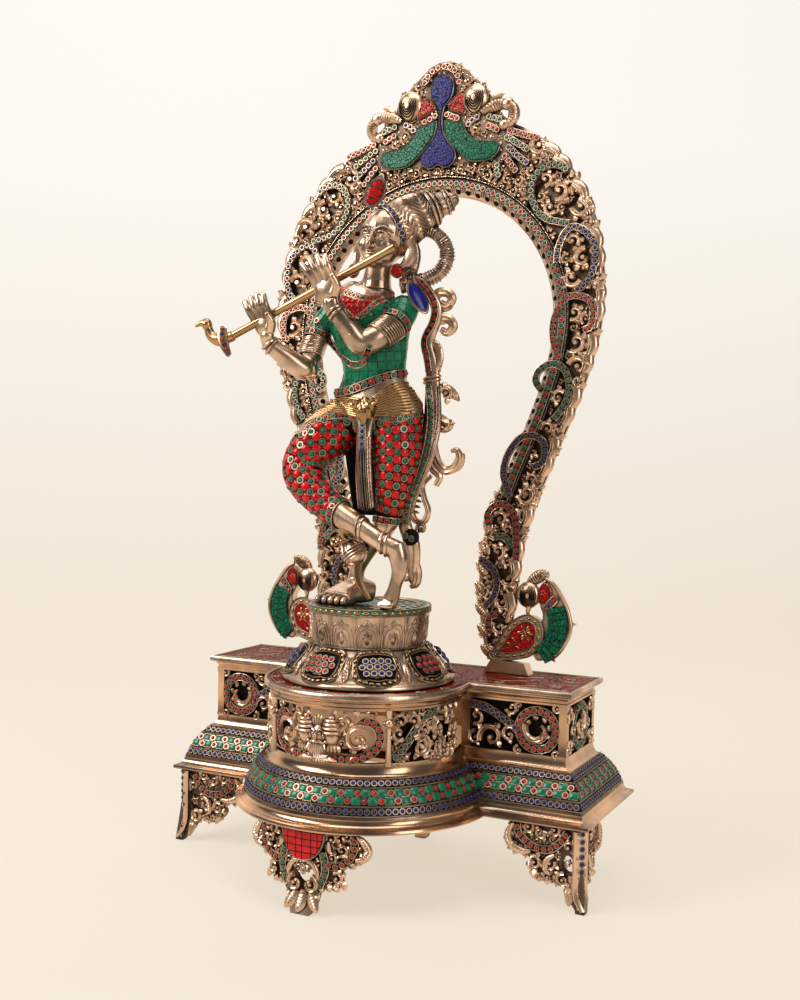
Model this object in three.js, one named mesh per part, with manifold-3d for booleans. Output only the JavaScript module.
// Brass flute player on a lotus base, under a leaning arch, on a footed openwork pedestal.
// Millimetres, +Z up, front towards -Y. While it is modelled, the lotus axis is X = 0, Y = 0
// and the floor is Z = 0; the last lines move the origin to the middle of the footprint.
import * as THREE from 'three';
import { mergeVertices } from 'three/addons/utils/BufferGeometryUtils.js';
import Module from 'manifold-3d';

// Fits
const seatGap = 0.3;

// Pedestal: a long bar with a round lobe in front, hollow and open below
const wingHalfLength = 224;
const wingFrontY = 31;
const wingDepth = 98;
const lobeRadius = 109;
const wallThickness = 5;
const lipHeight = 5.5;
const lipReach = 39;
const coveHeight = 8;
const coveReach = 28;
const mouldingHeight = 37;
const mouldingReach = 7;
const bandHeight = 13;
const galleryHeight = 57;
const railHeight = 10;
const postWidth = 8;
const scrollWidth = 7;
const lobeWindowAngle = 88;
const lobeSegments = 18;

// Top slab
const slabOverhang = 8;
const slabThickness = 6.2;

// Feet
const footHeight = 87;
const footThickness = 13;
const footInset = 9;
const flangeMargin = 2;
const toeFlare = 9;
const frontFootHalfWidth = 64;
const cornerFootFrontWidth = 84;
const cornerFootSideWidth = 60;
const backFootHalfWidth = 40;

// Lotus base
const lotusFootRadius = 97.5;
const lotusFootHeight = 8;
const skirtHeight = 31;
const skirtRadius = 91;
const waistRadius = 63;
const drumHeight = 37;
const rimRadius = 68.8;
const rimHeight = 7;
const rimLedge = 3;
const petalCount = 8;
const petalTurn = 34;
const petalSwell = 3.5;

// Arch, drawn on its own leaning plane: x across, h up from the slab
const archLean = 5.7;
const archFromBack = 27;
const archDepth = 14;
const archWeb = 4;
const openingHeadHeight = 410;
const archHeadHeight = 435;
const openingHalfWidth = 157;
const openingRise = 165;
const headHalfWidth = 217;
const headRise = 240;
const neckHeight = 135;
const neckInnerX = 84;
const neckOuterX = 134;
const legFootX = 106;
const legFootWidth = 12;
const footBlockHeight = 14;
const footBlockWidth = 42;
const soffitWidth = 9;
const leafPitch = 46;
const leafDepth = 5;
const loopRelief = 3;
const finialHeight = 743;
const finialHalfWidth = 99;

// Figure and flute
const figureHeight = 468;
const fluteRadius = 4.4;
const fluteClearance = 0.5;

// Levels
const lipBottomZ = footHeight + seatGap;
const coveZ = lipBottomZ + lipHeight;
const mouldingZ = coveZ + coveHeight;
const bandZ = mouldingZ + mouldingHeight;
const galleryZ = bandZ + bandHeight;
const railZ = galleryZ + galleryHeight;
const pedestalTopZ = railZ + railHeight;
const slabZ = pedestalTopZ + seatGap;
const slabTopZ = slabZ + slabThickness;
const lotusZ = slabTopZ + seatGap;
const lotusTopZ = lotusZ + lotusFootHeight + skirtHeight + drumHeight + rimHeight;
const wingBackY = wingFrontY + wingDepth;
const archFrontY = wingBackY - archFromBack;

const radians = THREE.MathUtils.degToRad;
const wasm = await Module();
wasm.setup();

// Solids

// Turns a closed geometry into a solid, with its faces pointing out.
function solid(geometry) {
  for (const name of Object.keys(geometry.attributes)) {
    if (name !== 'position') geometry.deleteAttribute(name);
  }
  const merged = mergeVertices(geometry, 1e-4);
  const position = merged.attributes.position;
  const corners = [0, 1, 2].map(() => new THREE.Vector3());
  const triangles = [];
  let volume = 0;
  for (let i = 0; i < merged.index.count; i += 3) {
    const face = [0, 1, 2].map((k) => merged.index.getX(i + k));
    if (new Set(face).size < 3) continue;
    face.forEach((vertex, k) => corners[k].fromBufferAttribute(position, vertex));
    volume += corners[0].dot(corners[1].clone().cross(corners[2]));
    triangles.push(face);
  }
  const outward = volume > 0 ? triangles : triangles.map(([a, b, c]) => [a, c, b]);
  return new wasm.Manifold(new wasm.Mesh({
    numProp: 3,
    vertProperties: new Float32Array(position.array),
    triVerts: new Uint32Array(outward.flat()),
  }));
}

function join(solids) {
  return solids.reduce((whole, piece) => whole.add(piece));
}

function cut(body, tools) {
  return tools.reduce((whole, tool) => whole.subtract(tool), body);
}

function geometryOf(body) {
  const mesh = body.getMesh();
  const geometry = new THREE.BufferGeometry();
  geometry.setAttribute('position', new THREE.BufferAttribute(mesh.vertProperties.slice(), 3));
  geometry.setIndex(new THREE.BufferAttribute(mesh.triVerts.slice(), 1));
  return geometry;
}

// A body through rings with equal numbers of points. It is capped at both ends, or runs round.
function loft(rings, round = false) {
  const count = rings[0].length;
  const points = rings.flat();
  const index = [];
  const steps = round ? rings.length : rings.length - 1;
  for (let i = 0; i < steps; i += 1) {
    const here = i * count;
    const next = ((i + 1) % rings.length) * count;
    for (let j = 0; j < count; j += 1) {
      const k = (j + 1) % count;
      index.push(here + j, here + k, next + k, here + j, next + k, next + j);
    }
  }
  if (!round) {
    for (const [ring, turn] of [[0, false], [rings.length - 1, true]]) {
      const middle = rings[ring].reduce((sum, p) => sum.add(p), new THREE.Vector3());
      points.push(middle.divideScalar(count));
      for (let j = 0; j < count; j += 1) {
        const a = ring * count + j;
        const b = ring * count + ((j + 1) % count);
        index.push(points.length - 1, turn ? a : b, turn ? b : a);
      }
    }
  }
  const geometry = new THREE.BufferGeometry().setFromPoints(points);
  geometry.setIndex(index);
  return solid(geometry);
}

// A limb through stations of a centre and two radii, square to its own path.
function limb(stations, sides = 8, first = new THREE.Vector3(1, 0, 0)) {
  const centres = stations.map((s) => s.at);
  const across = first.clone();
  const rings = stations.map(({ at, wide, deep = wide }, i) => {
    const before = centres[Math.max(i - 1, 0)];
    const after = centres[Math.min(i + 1, centres.length - 1)];
    const along = after.clone().sub(before).normalize();
    across.addScaledVector(along, -across.dot(along)).normalize();
    const other = along.clone().cross(across);
    return Array.from({ length: sides }, (unused, k) => {
      const angle = (2 * Math.PI * k) / sides;
      return at.clone()
        .addScaledVector(across, wide * Math.cos(angle))
        .addScaledVector(other, deep * Math.sin(angle));
    });
  });
  return loft(rings);
}

function ellipsoid(centre, radii, tilt = [0, 0, 0], sides = 12) {
  const geometry = new THREE.SphereGeometry(1, sides, Math.round(sides * 0.66));
  geometry.scale(...radii);
  geometry.applyMatrix4(new THREE.Matrix4().makeRotationFromEuler(new THREE.Euler(...tilt.map(radians))));
  geometry.translate(centre.x, centre.y, centre.z);
  return solid(geometry);
}

function polygon(points) {
  return points.map(([x, y]) => new THREE.Vector2(x, y));
}

function mirrored(points) {
  return points.map(([x, y]) => [-x, y]).reverse();
}

// A flat plate with holes, from depth z0 to z1 along its own Z.
function plate(outline, z0, z1, holes = []) {
  const shape = new THREE.Shape(polygon(outline));
  shape.holes = holes.map((hole) => new THREE.Path(polygon(hole)));
  const geometry = new THREE.ExtrudeGeometry(shape, { depth: z1 - z0, bevelEnabled: false });
  geometry.translate(0, 0, z0);
  return solid(geometry);
}

function ovalOutline(x, y, rx, ry, sides = 8, turn = 0) {
  return Array.from({ length: sides }, (unused, k) => {
    const angle = (2 * Math.PI * k) / sides;
    const px = rx * Math.cos(angle);
    const py = ry * Math.sin(angle);
    const c = Math.cos(radians(turn));
    const s = Math.sin(radians(turn));
    return [x + c * px - s * py, y + s * px + c * py];
  });
}

// Points of a smooth curve through a few control points.
function smooth(points, steps) {
  const curve = new THREE.SplineCurve(polygon(points));
  return curve.getPoints(steps).map((p) => [p.x, p.y]);
}

// A spiral centreline that starts on a circle and winds inwards.
function spiral(x, y, radius, start, sweep, inner, steps) {
  return Array.from({ length: steps + 1 }, (unused, k) => {
    const t = k / steps;
    const angle = radians(start + sweep * t);
    const r = radius * (1 - t) + inner * t;
    return [x + r * Math.cos(angle), y + r * Math.sin(angle)];
  });
}

// A tapering bar of square section along a flat centreline, laid on a wall by place(s, h, out).
function bar(path, width, tipWidth, back, front, place) {
  const rings = path.map(([s, h], i) => {
    const before = path[Math.max(i - 1, 0)];
    const after = path[Math.min(i + 1, path.length - 1)];
    const length = Math.hypot(after[0] - before[0], after[1] - before[1]);
    const half = THREE.MathUtils.lerp(width, tipWidth, i / (path.length - 1)) / 2;
    const ns = (-(after[1] - before[1]) / length) * half;
    const nh = ((after[0] - before[0]) / length) * half;
    return [
      place(s + ns, h + nh, back),
      place(s - ns, h - nh, back),
      place(s - ns, h - nh, front),
      place(s + ns, h + nh, front),
    ];
  });
  return loft(rings);
}

// Pedestal

// The plan outline, grown by offset and lifted to z: lobe arc first, then the bar's four corners.
function planRing(offset, z) {
  const radius = lobeRadius + offset;
  const frontY = wingFrontY - offset;
  const backY = wingBackY + offset;
  const endX = wingHalfLength + offset;
  const joinAngle = Math.asin(frontY / radius);
  const ring = [];
  for (let k = 0; k <= lobeSegments; k += 1) {
    const angle = THREE.MathUtils.lerp(-Math.PI - joinAngle, joinAngle, k / lobeSegments);
    ring.push(new THREE.Vector3(radius * Math.cos(angle), radius * Math.sin(angle), z));
  }
  ring.push(new THREE.Vector3(endX, frontY, z));
  ring.push(new THREE.Vector3(endX, backY, z));
  ring.push(new THREE.Vector3(-endX, backY, z));
  ring.push(new THREE.Vector3(-endX, frontY, z));
  return ring;
}

// The outside of the wall from the lip up to the rail, as offset and height.
function pedestalProfile() {
  const cove = new THREE.QuadraticBezierCurve(
    new THREE.Vector2(lipReach, coveZ),
    new THREE.Vector2(coveReach + 2, coveZ + 0.3 * coveHeight),
    new THREE.Vector2(coveReach, mouldingZ),
  );
  const swell = new THREE.QuadraticBezierCurve(
    new THREE.Vector2(coveReach, mouldingZ),
    new THREE.Vector2(coveReach - 5, mouldingZ + 0.6 * mouldingHeight),
    new THREE.Vector2(mouldingReach, bandZ),
  );
  const lip = [[lipReach - 4, lipBottomZ], [lipReach, lipBottomZ + 2]];
  const wall = [[1.5, bandZ + bandHeight / 2], [0, galleryZ], [0, pedestalTopZ]];
  const curves = [...cove.getPoints(2), ...swell.getPoints(4).slice(1)].map((p) => [p.x, p.y]);
  return [...lip, ...curves, ...wall];
}

// The inside of the wall from the rail down, with a flange at the foot that the feet carry.
function pedestalShell() {
  const flangeReach = lipReach - footInset - footThickness - flangeMargin;
  const outside = pedestalProfile();
  const inside = [
    [-wallThickness, pedestalTopZ],
    [-wallThickness, galleryZ],
    [mouldingReach - wallThickness, bandZ],
    [coveReach - 5 - wallThickness, mouldingZ + 0.35 * mouldingHeight],
    [coveReach - wallThickness, mouldingZ],
    [flangeReach, coveZ],
    [flangeReach, lipBottomZ],
  ];
  return loft([...outside, ...inside].map(([offset, z]) => planRing(offset, z)), true);
}

// Walls of the gallery: s runs along the wall from its middle, h up from its foot, out is outward.
const wingPanelInner = Math.sqrt(lobeRadius ** 2 - wingFrontY ** 2) + postWidth;
const wingPanelOuter = wingHalfLength - postWidth;
const wingPanelMiddle = (wingPanelInner + wingPanelOuter) / 2;

const frontWall = (side) => (s, h, out) => new THREE.Vector3(
  side * (wingPanelMiddle + s),
  wingFrontY - out,
  galleryZ + h,
);

const endWall = (side) => (s, h, out) => new THREE.Vector3(
  side * (wingHalfLength + out),
  (wingFrontY + wingBackY) / 2 + s,
  galleryZ + h,
);

const lobeWall = (s, h, out) => {
  const angle = s / lobeRadius - Math.PI / 2;
  const radius = lobeRadius + out;
  return new THREE.Vector3(radius * Math.cos(angle), radius * Math.sin(angle), galleryZ + h);
};

// A window through a wall, from s0 to s1, leaving a thin sill and head.
function windowCut(place, s0, s1, steps = 1) {
  const back = -wallThickness - 2;
  const front = 2;
  const low = 1.5;
  const high = galleryHeight - 1;
  const rings = Array.from({ length: steps + 1 }, (unused, k) => {
    const s = THREE.MathUtils.lerp(s0, s1, k / steps);
    return [place(s, low, back), place(s, high, back), place(s, high, front), place(s, low, front)];
  });
  return loft(rings);
}

// Scrollwork in the windows. All of it is as deep as the wall and stands a little proud.
function scrolls(place, paths) {
  return paths.map((path) => bar(path, scrollWidth, scrollWidth * 0.55, -wallThickness + 1, 1.6, place));
}

function wingFrontScrolls(side) {
  const half = (wingPanelOuter - wingPanelInner) / 2;
  const middle = galleryHeight / 2;
  const ringRadius = galleryHeight / 2 - 2;
  const ringX = half - ringRadius + 1;
  const place = frontWall(side);
  return scrolls(place, [
    spiral(ringX, middle, ringRadius, -20, -340, ringRadius - 1, 10),
    spiral(ringX, middle, ringRadius - 1, -20, 300, 4, 7),
    smooth([[-half - 1, galleryHeight - 5], [-half * 0.45, galleryHeight - 12], [ringX - ringRadius, middle]], 4),
    spiral(-half * 0.5, middle - 11, 17, 190, 330, 6, 7),
  ]);
}

function wingEndScrolls(side) {
  const half = wingDepth / 2 - postWidth;
  const middle = galleryHeight / 2;
  const place = endWall(side);
  return scrolls(place, [
    spiral(0, middle, galleryHeight / 2 - 1, 90, 340, galleryHeight / 2 - 2, 9),
    spiral(0, middle, galleryHeight / 2 - 3, 90, -400, 4, 7),
    [[-half - 1, middle + 12], [-galleryHeight / 2 + 3, middle + 2]],
    [[half + 1, middle - 12], [galleryHeight / 2 - 3, middle - 2]],
  ]);
}

function lobeScrolls(side) {
  const middle = galleryHeight / 2;
  const place = (s, h, out) => lobeWall(side * s, h, out);
  const end = (radians(lobeWindowAngle) * lobeRadius);
  return scrolls(place, [
    smooth([[14, 3], [34, 4], [56, 12], [66, 28], [60, 41], [45, 42]], 7),
    spiral(41, middle - 2, 16, 72, 320, 4, 6),
    smooth([[74, galleryHeight + 1], [72, middle], [78, -1]], 2),
    smooth([[78, 4], [96, 24], [112, 46], [128, 53]], 4),
    spiral(113, 15, 16, 150, -300, 5, 6),
    smooth([[126, 52], [140, 40], [end + 1, 30]], 2),
  ]);
}

// Two round-capped heads either side of a bearded mask, carved in the middle of the lobe.
function lobeHeads() {
  const middle = galleryHeight / 2;
  const pieces = [ellipsoid(lobeWall(0, middle - 6, 0), [9, 7, 20], [0, 0, 0], 8)];
  for (const side of [-1, 1]) {
    pieces.push(ellipsoid(lobeWall(side * 13, middle - 1, 0), [9, 7, 17], [0, side * 12, 0], 6));
    pieces.push(ellipsoid(lobeWall(side * 10, middle + 19, 0), [7, 6, 13], [0, -side * 20, 0], 6));
  }
  return pieces;
}

function pedestal() {
  const windows = [windowCut(lobeWall, ...[-1, 1].map((side) => side * radians(lobeWindowAngle) * lobeRadius), 14)];
  const carving = [...lobeHeads()];
  for (const side of [-1, 1]) {
    const half = (wingPanelOuter - wingPanelInner) / 2;
    windows.push(windowCut(frontWall(side), -half, half));
    windows.push(windowCut(endWall(side), -wingDepth / 2 + postWidth, wingDepth / 2 - postWidth));
    carving.push(...wingFrontScrolls(side), ...wingEndScrolls(side), ...lobeScrolls(side));
  }
  return join([cut(pedestalShell(), windows), ...carving]);
}

function pedestalTop() {
  const chamfer = 1;
  return loft([
    planRing(slabOverhang - chamfer, slabZ),
    planRing(slabOverhang, slabZ + chamfer),
    planRing(slabOverhang, slabTopZ - chamfer),
    planRing(slabOverhang - chamfer, slabTopZ),
  ]);
}

// Feet: pierced scroll brackets, drawn flat as s along the lip and h up from the floor

// Half of a bracket outline for a given width: toe, stem, leaf knob, wing tip and top.
function bracketSide(width) {
  const stem = Math.min(19, width * 0.3);
  return [
    [stem * 0.55, 0],
    [stem * 0.8, footHeight * 0.1],
    [stem, footHeight * 0.24],
    [stem + 7, footHeight * 0.36],
    [width * 0.58, footHeight * 0.34],
    [width * 0.7, footHeight * 0.46],
    [width * 0.66, footHeight * 0.58],
    [width * 0.9, footHeight * 0.62],
    [width, footHeight * 0.74],
    [width * 0.93, footHeight * 0.84],
    [width, footHeight],
  ];
}

// Bends a flat plate onto the lip: bend(s, h, depth) gives the place.
function bentPlate(outline, holes, bend) {
  const shape = new THREE.Shape(polygon(outline));
  shape.holes = holes.map((hole) => new THREE.Path(polygon(hole)));
  const geometry = new THREE.ExtrudeGeometry(shape, { depth: footThickness, bevelEnabled: false });
  const position = geometry.attributes.position;
  for (let i = 0; i < position.count; i += 1) {
    const p = bend(position.getX(i), position.getY(i), position.getZ(i));
    position.setXYZ(i, p.x, p.y, p.z);
  }
  return solid(geometry);
}

const lobeLipRadius = lobeRadius + lipReach - footInset;

// How far a foot sweeps outwards at height h.
function flare(h) {
  return toeFlare * Math.max(0, 1 - h / (0.35 * footHeight)) ** 2;
}

function frontFoot() {
  const side = bracketSide(frontFootHalfWidth);
  const toeNotch = [[3, 0], [4.5, footHeight * 0.12]];
  const outline = [...side, ...mirrored(side), ...mirrored(toeNotch).slice(0, 1), ...toeNotch.slice(0, 1)];
  const holes = [
    ovalOutline(0, footHeight * 0.49, 14, 14, 10),
    ...[-1, 1].map((turn) => ovalOutline(turn * 32, footHeight * 0.86, 5, 6, 4, 45)),
  ];
  const bend = (s, h, depth) => {
    const angle = s / lobeLipRadius - Math.PI / 2;
    const radius = lobeLipRadius - footThickness + depth + flare(h);
    return new THREE.Vector3(radius * Math.cos(angle), radius * Math.sin(angle), h);
  };
  const pad = ellipsoid(bend(0, footHeight * 0.82, footThickness - 2), [21, 6, 13], [0, 0, 0], 8);
  const body = bentPlate(outline, holes, bend);
  return join([body, cut(pad, [above(footHeight)]), ...frontFootVolutes(bend)]);
}

// A block that trims everything above a level.
function above(level) {
  const size = 2 * (wingHalfLength + lipReach) + footHeight;
  const geometry = new THREE.BoxGeometry(size, size, footHeight);
  geometry.translate(0, 0, level + footHeight / 2);
  return solid(geometry);
}

function frontFootVolutes(bend) {
  return [-1, 1].map((turn) => {
    const place = (s, h, out) => bend(turn * s, h, out);
    const path = spiral(7.5, footHeight * 0.35, 8, -20, 330, 3, 7);
    return bar(path, 4, 3, 2, footThickness + 2, place);
  });
}

function cornerFoot(side) {
  const cornerX = wingHalfLength + lipReach - footInset;
  const cornerY = wingFrontY - lipReach + footInset;
  const place = (inward, back, h) => new THREE.Vector3(
    side * (cornerX - inward + flare(h)),
    cornerY + back - flare(h),
    h,
  );
  const wings = [
    [cornerFootFrontWidth, (s, h, depth) => place(s, depth, h)],
    [cornerFootSideWidth, (s, h, depth) => place(depth, s, h)],
  ];
  const pieces = wings.map(([width, bend]) => {
    const half = bracketSide(width);
    const outline = [...half, [0, footHeight], [0, 0]];
    const holes = [
      ovalOutline(footThickness + 4, footHeight * 0.56, 5, 8, 8),
      ovalOutline(width * 0.52, footHeight * 0.86, 7, 5, 4, 45),
    ];
    return bentPlate(outline, holes, bend);
  });
  return join(pieces);
}

function backFoot() {
  const backY = wingBackY + lipReach - footInset;
  const side = bracketSide(backFootHalfWidth);
  const outline = [...side, ...mirrored(side)];
  return bentPlate(outline, [], (s, h, depth) => new THREE.Vector3(s, backY - depth, h));
}

// Lotus base: a lathed form whose skirt swells into petals

function lotusBase() {
  const skirtZ = lotusZ + lotusFootHeight;
  const drumZ = skirtZ + skirtHeight;
  const rimZ = drumZ + drumHeight;
  const mix = THREE.MathUtils.lerp;
  const profile = [
    [lotusFootRadius, lotusZ, 0],
    [lotusFootRadius, lotusZ + lotusFootHeight * 0.5, 0],
    [skirtRadius + 2, skirtZ - 1, 0],
    [skirtRadius, skirtZ + skirtHeight * 0.1, 1],
    [mix(skirtRadius, waistRadius, 0.3), skirtZ + skirtHeight * 0.42, 1],
    [mix(skirtRadius, waistRadius, 0.66), skirtZ + skirtHeight * 0.78, 0.7],
    [waistRadius, drumZ, 0],
    [mix(waistRadius, rimRadius, 0.55), drumZ + drumHeight * 0.4, 0],
    [rimRadius - 1, rimZ, 0],
    [rimRadius, rimZ + rimHeight * 0.5, 0],
    [rimRadius - 1, lotusTopZ, 0],
    [rimRadius - rimLedge, lotusTopZ, 0],
  ];
  const segments = petalCount * 4;
  const rings = profile.map(([radius, z, lobed]) => Array.from({ length: segments }, (unused, k) => {
    const angle = (2 * Math.PI * k) / segments;
    const wave = Math.abs(Math.cos((petalCount * (angle - radians(petalTurn - 90))) / 2));
    const r = radius + lobed * petalSwell * (wave - 0.5);
    return new THREE.Vector3(r * Math.cos(angle), r * Math.sin(angle), z);
  }));
  return loft(rings);
}

// Arch

// One edge of the arch from the crown (t = 0) down the right leg to its foot (t = 1).
function archEdge({ halfWidth, springing, rise, squareness, neckX, footX, legPull }, t) {
  const crownShare = 0.42;
  const neckShare = 0.8;
  if (t < crownShare) {
    const angle = (Math.PI / 2) * (t / crownShare);
    return [
      halfWidth * Math.sin(angle) ** squareness,
      springing + rise * Math.max(Math.cos(angle), 0) ** squareness,
    ];
  }
  const fall = springing - neckHeight;
  const leg = [[halfWidth, springing], [halfWidth, springing - 0.33 * fall],
    [neckX + legPull, neckHeight + 0.3 * fall], [neckX, neckHeight]];
  const ankle = [[neckX, neckHeight], [neckX - 0.5 * legPull, neckHeight * 0.7],
    [neckX, neckHeight * 0.45], [footX, footBlockHeight - 1]];
  const points = t < neckShare ? leg : ankle;
  const u = t < neckShare ? (t - crownShare) / (neckShare - crownShare) : (t - neckShare) / (1 - neckShare);
  const place = new THREE.CubicBezierCurve(...polygon(points)).getPoint(u);
  return [place.x, place.y];
}

const innerEdge = (t) => archEdge({
  halfWidth: openingHalfWidth,
  springing: openingHeadHeight,
  rise: openingRise,
  squareness: 1,
  neckX: neckInnerX,
  footX: legFootX - legFootWidth / 2,
  legPull: 4,
}, t);

const outerEdge = (t) => archEdge({
  halfWidth: headHalfWidth,
  springing: archHeadHeight,
  rise: headRise,
  squareness: 0.91,
  neckX: neckOuterX,
  footX: legFootX + legFootWidth / 2,
  legPull: 10,
}, t);

// A point between the inner (0) and outer (1) edges on the side named by the sign of t.
function onBand(t, across) {
  const inner = innerEdge(Math.abs(t));
  const outer = outerEdge(Math.abs(t));
  const x = THREE.MathUtils.lerp(inner[0], outer[0], across);
  return [Math.sign(t || 1) * x, THREE.MathUtils.lerp(inner[1], outer[1], across)];
}

// The band as one loft from foot to foot: leafy outer edge, flat face and sloping soffit.
function archBand() {
  const length = 1.28 * Math.PI * headHalfWidth + 2 * archHeadHeight;
  const steps = 2 * Math.round(length / leafPitch);
  const rings = [];
  for (let k = 0; k <= steps; k += 1) {
    const t = THREE.MathUtils.lerp(-1, 1, k / steps);
    const inner = onBand(t, 0);
    const outer = onBand(t, 1);
    const width = Math.hypot(outer[0] - inner[0], outer[1] - inner[1]);
    const leaf = k % 2 === 0 ? 0 : -leafDepth / width;
    const slope = Math.min(0.35, soffitWidth / width);
    const point = (across, z) => new THREE.Vector3(...onBand(t, across), z);
    rings.push([
      point(0, -archDepth),
      point(1 + leaf, -archDepth),
      point(1 + leaf, 0),
      point(slope, 0),
      point(0, -archDepth + archWeb),
    ]);
  }
  return loft(rings);
}

// Where the foliage is pierced down to the web: loops along each leg, as t and place across.
function archPiercings() {
  const loops = [
    { t: 0.215, long: 17, wide: 13, turn: -40 },
    { t: 0.315, long: 21, wide: 13, turn: -62 },
    { t: 0.43, long: 22, wide: 13, turn: -90 },
    { t: 0.535, long: 21, wide: 12, turn: -104 },
    { t: 0.625, long: 19, wide: 11, turn: -115 },
    { t: 0.705, long: 15, wide: 9, turn: -112 },
    { t: 0.775, long: 12, wide: 7, turn: -104 },
  ];
  const cuts = [];
  for (const side of [-1, 1]) {
    for (const { t, long, wide, turn } of loops) {
      const [x, h] = onBand(side * t, 0.6);
      const outline = ovalOutline(x, h, long * 0.7, wide * 0.6, 6, side > 0 ? turn : 180 - turn);
      cuts.push(plate(outline, -archDepth + archWeb, loopRelief));
    }
  }
  return cuts;
}

// Crown: a notched spindle between two sweeping crescents, balls and small tile fields.
function finial() {
  const drawnHeight = 738;
  const drawnHalfWidth = 99;
  const s = finialHeight / drawnHeight;
  const w = finialHalfWidth / drawnHalfWidth;
  const sized = (points) => points.map(([x, h]) => [x * w, h * s]);
  const half = sized([
    [96, 615], [92, 640], [99, 651], [95, 665], [80, 671], [63, 677], [57, 692], [43, 708], [30, 718], [15, 732],
  ]);
  const outline = [...half, [0, finialHeight], ...mirrored(half)];
  const spindle = sized([[0, 724], [14, 716], [19, 702], [13, 686], [4, 674], [4, 650], [12, 630], [24, 612],
    [18, 602], [6, 604], [0, 616]]);
  const crescent = sized([[6, 661], [28, 657], [36, 640], [52, 628], [72, 629], [79, 622], [70, 608], [48, 606],
    [28, 616], [12, 634]]);
  const tile = sized([[15, 684], [34, 692], [40, 668], [22, 666]]);
  const pieces = [
    plate(outline, -archDepth, 0),
    plate([...spindle, ...mirrored(spindle.slice(1, -1))], -1, loopRelief + 3),
  ];
  for (const side of [-1, 1]) {
    const flip = (points) => (side > 0 ? points : mirrored(points));
    pieces.push(plate(flip(crescent), -1, loopRelief + 1));
    pieces.push(plate(flip(tile), -1, loopRelief));
    const ball = new THREE.Vector3(side * 50 * w, 684 * s, -archDepth / 2);
    pieces.push(ellipsoid(ball, [13, 14, archDepth / 2 + 5], [0, 0, 0], 7));
  }
  return pieces;
}

// Swan at the foot of each leg: drop-shaped body, curved neck outside, head turned back.
// Its points are drawn from the leg's foot outwards and from the foot block up.
function swan(side) {
  const placed = (points) => {
    const moved = points.map(([x, h]) => [legFootX + x, footBlockHeight + h]);
    return side > 0 ? moved : mirrored(moved);
  };
  const body = smooth([[-3, 4], [9, 27], [29, 44], [49, 45], [63, 30], [57, 12], [39, 1], [15, 0]], 9);
  const neck = smooth([[55, 10], [69, 3], [85, 20], [94, 42], [91, 58], [81, 74], [73, 88], [61, 92],
    [54, 80], [57, 62], [63, 46], [65, 28]], 11);
  const web = smooth([[-5, 0], [37, -2], [73, 6], [93, 40], [87, 66], [69, 100], [37, 92], [13, 98],
    [1, 60], [-6, 30]], 10);
  const spikes = [[[87, 46], [101, 50], [91, 57]], [[69, 6], [78, -1], [79, 12]]];
  const spot = (x, h, depth) => new THREE.Vector3(side * (legFootX + x), footBlockHeight + h, depth);
  return [
    plate(placed(web), -archDepth, -archDepth + archWeb),
    plate(placed(body), -archDepth + 1, 2),
    plate(placed(neck), -archDepth + 1, 3),
    ...spikes.map((spike) => plate(placed(spike), -archDepth, -2)),
    ellipsoid(spot(44, 76, -archDepth * 0.35), [11.5, 14, archDepth / 2], [0, 0, 0], 7),
    ellipsoid(spot(66, 101, -archDepth * 0.45), [4.5, 11, 5], [0, 0, -side * 20], 6),
    ellipsoid(spot(44, 57, -archDepth * 0.35), [4, 9, 4.5], [0, 0, 0], 6),
  ];
}

function footBlock(side) {
  const x0 = legFootX - legFootWidth / 2;
  const x1 = x0 + footBlockWidth;
  const points = [[x0, 0], [x1 + 4, 0], [x1 - 2, footBlockHeight + 1], [x0 + 4, footBlockHeight + 1]];
  return plate(side > 0 ? points : mirrored(points), -archDepth - 1, 4);
}

// Everything of the arch is drawn on its plane, leaned back, and cut flat where it meets the slab.
function arch() {
  const lean = new THREE.Matrix4().makeRotationX(Math.PI / 2 - radians(archLean));
  lean.setPosition(0, archFrontY, lotusZ);
  const carving = cut(join([archBand(), ...finial()]), archPiercings());
  const feet = [-1, 1].flatMap((side) => [footBlock(side), ...swan(side)]);
  const standing = join([carving, ...feet]).transform(lean.elements);
  const size = 4 * headHalfWidth;
  const below = new THREE.BoxGeometry(size, size, size);
  below.translate(0, 0, lotusZ - size / 2);
  return standing.subtract(solid(below));
}

// Figure: all places are in the pose, with the sole of the standing foot at height 0

const poseScale = scaleOfPose();

// Pose lengths are drawn for a figure of drawnHeight and scaled to figureHeight.
function scaleOfPose() {
  const drawnHeight = 462;
  return figureHeight / drawnHeight;
}

function at(x, y, z) {
  return new THREE.Vector3(x, y, z).multiplyScalar(poseScale);
}

// Stations given as x, y, z, half width and half depth.
function body(stations, sides = 8, first = new THREE.Vector3(1, 0, 0)) {
  return limb(stations.map(([x, y, z, wide, deep = wide]) => ({
    at: at(x, y, z),
    wide: wide * poseScale,
    deep: deep * poseScale,
  })), sides, first);
}

function lump(x, y, z, radii, tilt, sides = 10) {
  return ellipsoid(at(x, y, z), radii.map((r) => r * poseScale), tilt, sides);
}

const torso = () => [
  body([
    [4, -2, 186, 36, 27], [6, -2, 200, 54, 32], [5, -2, 220, 53, 32], [4, -4, 238, 43, 27],
    [4, -5, 254, 36, 24], [3, -6, 276, 39, 26], [0, -7, 300, 46, 28], [-3, -5, 318, 49, 25],
    [-4, -3, 332, 38, 18], [0, -3, 342, 17, 14], [5, -6, 358, 15, 14.5], [9, -6, 378, 14, 14],
  ], 10),
];

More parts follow.
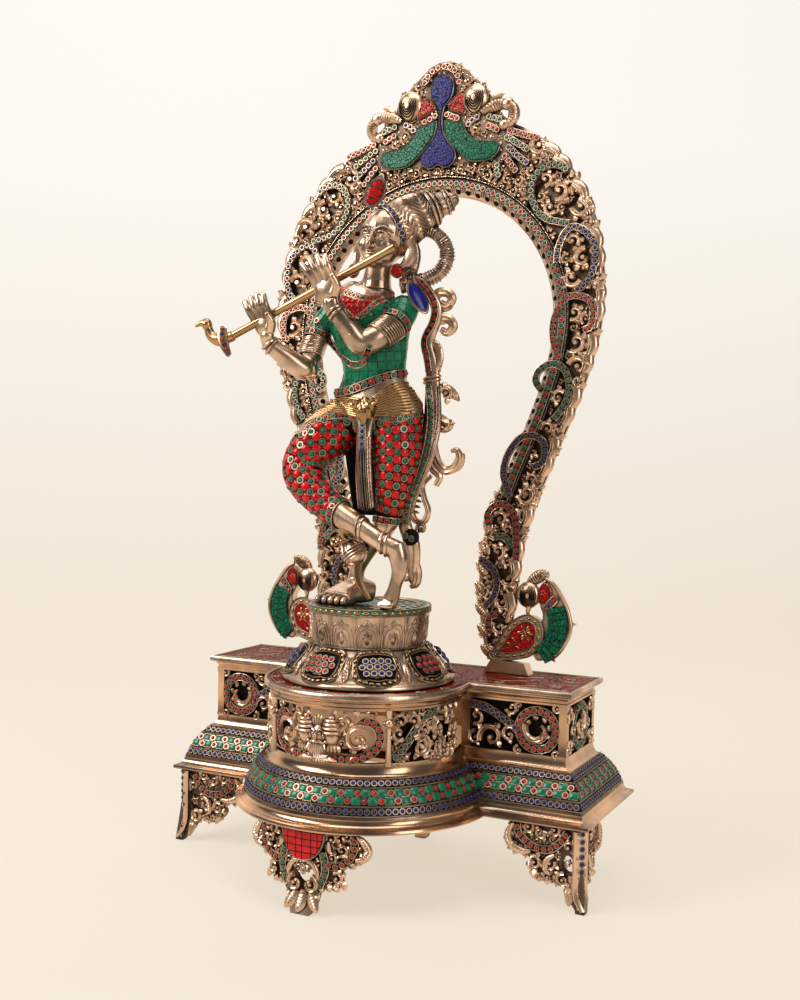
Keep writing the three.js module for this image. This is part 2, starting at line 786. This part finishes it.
const legs = () => [
  body([[30, -4, 205, 27, 28], [34, -5, 170, 27, 28], [33, -10, 130, 20, 22], [24, -11, 90, 13, 14],
    [2, -9, 60, 10, 10.5], [-13, -6, 36, 8.5, 9], [-14, -6, 16, 10, 10]], 8),
  body([[-26, -8, 205, 27, 28], [-50, -24, 180, 28, 28], [-68, -36, 150, 22, 22], [-50, -44, 124, 17, 18],
    [-20, -48, 104, 13, 14], [14, -54, 88, 10, 10.5], [44, -54, 70, 9, 9], [58, -47, 58, 10, 10]], 8),
  body([[58, -47, 62, 11, 10], [60, -47, 44, 9, 9], [56, -46, 22, 12, 8], [46, -46, 6, 11, 5], [44, -46, 0.5, 7, 3]], 8),
  body([[0, 0, 9, 11, 9], [-14, -10, 10, 13, 10], [-26, -20, 8, 14, 7.6], [-42, -32, 5, 15, 4.6]], 8,
    new THREE.Vector3(0.6, -0.8, 0)),
];

const dhotiSash = () => [
  body([[8, -34, 205, 13, 6], [8, -38, 180, 8, 5], [9, -38, 140, 9, 5], [10, -36, 104, 11, 4]], 6),
  body([[-40, -14, 226, 10, 8], [-8, -33, 214, 10, 7], [12, -36, 212, 11, 8], [36, -24, 226, 9, 7], [52, 2, 238, 8, 8]],
    6, new THREE.Vector3(0, 0, 1)),
];

const arms = () => [
  body([[38, -1, 326, 14, 14], [38, -16, 304, 14, 14], [24, -40, 280, 12, 12], [13, -51, 274, 11, 11],
    [0, -61, 296, 9.5, 9.5], [-11, -68, 314, 7.5, 7.5], [-12, -70, 326, 9, 6]], 8),
  body([[-48, -1, 326, 14, 14], [-66, -8, 300, 13, 13], [-70, -22, 268, 12, 12], [-68, -32, 256, 11, 11],
    [-82, -48, 268, 9.5, 9.5], [-97, -62, 282, 7.5, 7.5], [-99, -66, 296, 8, 6]], 8),
];

// A palm with four fingers laid over the flute and a thumb under it.
function hand(x, y, z, reach) {
  const pieces = [lump(x, y, z, [12, 6, 15], [12, 0, 0], 6)];
  for (let k = 0; k < 4; k += 1) {
    const fx = x - 9 + 6 * k;
    const fz = z + 8 + reach * (3 - k) * 0.12;
    pieces.push(body([[fx, y - 1, fz, 3.4], [fx - 3, y - 9, fz + 11, 3.1], [fx - 6, y - 10, fz + reach, 2.2]], 4));
  }
  return pieces;
}

const head = () => [
  lump(15, -6, 400, [25, 30, 33], [6, 14, 0], 10),
  lump(9, -18, 381, [15, 15, 14], [0, 10, 0], 8),
  lump(11, -35, 389, [4, 5, 7], [0, 10, 0], 6),
  body([[8, -26, 416, 8, 5], [11, -29, 432, 10, 5], [16, -26, 448, 9, 5], [22, -22, 462, 2, 2]], 6),
  ...[-1, 1].map((side) => lump(15 + 25 * side, -3, 386 + 4 * side, [4, 7, 10], [0, 14, 0], 6)),
  ...[-1, 1].map((side) => lump(13 + 24 * side, -8, 373 + 3 * side, [8, 6, 9], [0, 0, 0], 6)),
];

const hair = () => [
  body([[20, 3, 406, 26, 24], [36, 12, 415, 27, 25], [52, 22, 424, 22, 20], [59, 27, 430, 15, 14],
    [63, 30, 434, 12, 11], [69, 34, 439, 13, 12], [75, 37, 446, 7, 7]], 9, new THREE.Vector3(0, 1, 0)),
  body([[34, 10, 402, 7], [54, 16, 404, 6], [70, 24, 392, 6], [74, 28, 374, 6], [64, 26, 358, 6], [46, 14, 352, 8],
    [34, 4, 356, 7]], 5),
  body([[30, 8, 404, 12, 9], [40, 10, 384, 10, 8], [38, 8, 362, 8, 7], [34, 4, 348, 7, 6]], 6),
];

// The scarf falls from the shoulder to the lotus base, with flame-shaped tongues outside.
function scarf() {
  const fall = [[44, 4, 338, 10, 6], [58, 9, 332, 8, 6], [68, 12, 322, 7, 5], [68, 14, 300, 6, 5], [66, 15, 268, 6, 5],
    [66, 14, 240, 8, 5], [68, 10, 200, 10, 5], [62, 6, 160, 11, 5], [48, 2, 118, 9, 5], [42, 2, 92, 8, 5],
    [50, 4, 66, 9, 6], [48, 9, 36, 8, 5], [52, 10, 20, 4, 3]];
  const tongues = [[68, 320, 88, 324], [68, 288, 92, 294], [68, 240, 92, 246], [72, 196, 92, 200], [72, 166, 102, 166],
    [60, 128, 84, 106]];
  return [
    body(fall, 6),
    body([[76, 12, 232, 5, 4], [80, 13, 190, 7, 4], [88, 13, 160, 7, 4], [100, 12, 152, 6, 4], [105, 11, 170, 3, 3]], 5),
    body([[62, 9, 150, 5, 4], [66, 10, 120, 6, 4], [76, 11, 96, 6, 4], [84, 11, 116, 6, 4], [82, 11, 142, 5, 4],
      [72, 10, 150, 4, 4]], 5),
    ...tongues.map(([x0, z0, x1, z1]) => body(
      [[x0, 13, z0, 6, 4], [(x0 + x1) / 2, 15, z0 - 4, 6, 4], [x1, 16, z1, 2, 2]],
      4,
      new THREE.Vector3(0, 0, 1),
    )),
  ];
}

const anklet = () => [
  lump(-4, -26, 60, [14, 13, 15], [0, -20, 0], 7),
  body([[-24, -22, 80, 10, 7], [-12, -28, 82, 14, 9], [0, -28, 76, 8, 8]], 6, new THREE.Vector3(0, 0, 1)),
  body([[0, -30, 54, 5, 5], [4, -36, 32, 5, 4], [10, -37, 20, 4, 4], [18, -36, 9, 2.5, 3]], 5),
];

// Flute line from the cheek to the far tip
const fluteStart = at(42, -37, 384.5);
const fluteEnd = at(-144, -77, 288);

function fluteRod(radius) {
  const axis = fluteEnd.clone().sub(fluteStart);
  const rod = new THREE.CylinderGeometry(radius * 1.15, radius, axis.length(), 8);
  const turn = new THREE.Quaternion().setFromUnitVectors(new THREE.Vector3(0, 1, 0), axis.clone().normalize());
  rod.applyQuaternion(turn);
  const middle = fluteStart.clone().add(fluteEnd).multiplyScalar(0.5);
  rod.translate(middle.x, middle.y, middle.z);
  return solid(rod);
}

function flute() {
  return join([
    fluteRod(fluteRadius),
    body([[-138, -76, 291, 5.5], [-150, -78, 288, 7.5], [-160, -80, 292, 6], [-164, -81, 300, 5], [-166, -82, 305, 6],
      [-172, -84, 306, 3.5], [-178, -86, 303, 1.5]], 7, new THREE.Vector3(0, 1, 0)),
    body([[-146, -78, 288, 6, 4], [-140, -80, 279, 6, 4], [-133, -80, 275, 3, 3]], 6),
  ]);
}

function figure() {
  const pieces = [
    ...torso(), ...legs(), ...dhotiSash(), ...arms(), ...hand(-8, -63, 336, 18), ...hand(-100, -67, 303, 20),
    ...head(), ...hair(), ...scarf(), ...anklet(),
  ];
  const floor = new THREE.BoxGeometry(2 * lotusFootRadius, 2 * lotusFootRadius, figureHeight);
  floor.translate(0, 0, -figureHeight / 2);
  return cut(join(pieces), [fluteRod(fluteRadius + fluteClearance), solid(floor)]);
}

// Assembly

const metal = (color, roughness = 0.35) => new THREE.MeshStandardMaterial({ color, roughness, metalness: 0.9 });
const stone = (color) => new THREE.MeshStandardMaterial({ color, roughness: 0.4, metalness: 0 });

const model = new THREE.Group();

function addPiece(name, body3d, material, parent = model) {
  const mesh = new THREE.Mesh(geometryOf(body3d), material);
  mesh.name = name;
  parent.add(mesh);
}

const brass = metal(0xa67b55);
addPiece('pedestal', pedestal(), brass);
addPiece('pedestal_top', pedestalTop(), stone(0x9c1f14));
addPiece('foot_front', frontFoot(), brass);
addPiece('foot_left', cornerFoot(-1), brass);
addPiece('foot_right', cornerFoot(1), brass);
addPiece('foot_back', backFoot(), brass);
addPiece('lotus_base', lotusBase(), brass);
addPiece('arch', arch(), brass);

const standing = new THREE.Group();
standing.position.z = lotusTopZ + seatGap;
model.add(standing);
addPiece('krishna_figure', figure(), brass, standing);
addPiece('flute', flute(), metal(0xc89a3c, 0.25), standing);

// The origin goes to the middle of the footprint, on the floor.
const box = new THREE.Box3().setFromObject(model);
model.position.set(-(box.min.x + box.max.x) / 2, -(box.min.y + box.max.y) / 2, -box.min.z);

const part = new THREE.Group();
part.add(model);
export default part;
